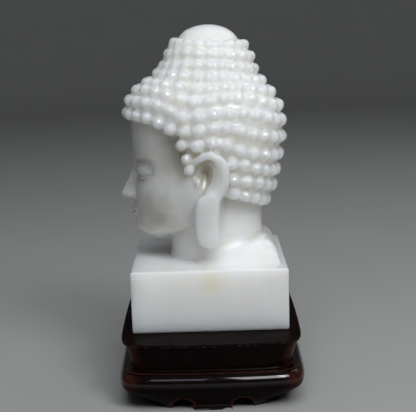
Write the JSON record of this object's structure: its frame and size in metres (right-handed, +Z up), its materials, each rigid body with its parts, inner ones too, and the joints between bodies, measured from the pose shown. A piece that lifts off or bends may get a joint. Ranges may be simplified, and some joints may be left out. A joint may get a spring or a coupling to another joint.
{
  "type": "carved stone head on a wooden stand",
  "caption": "Carved white stone head with rows of round curls and long ear lobes, on a square block that rests on a low lacquered wooden stand.",
  "frame": {"origin": "middle of the wooden stand's underside, on the surface it stands on", "axes": "+Z up; the face looks along -Y; the figure's left side is +X"},
  "size_m": [0.1704, 0.1314, 0.2592],
  "materials": {
    "white_stone": "polished white jade, slightly translucent, with faint cloudy veins",
    "dark_wood": "dark reddish black hardwood with a glossy lacquer"
  },
  "bodies": {
    "root": {"stone_head_and_block": "white_stone", "wooden_stand": "dark_wood"}
  },
  "joints": []
}
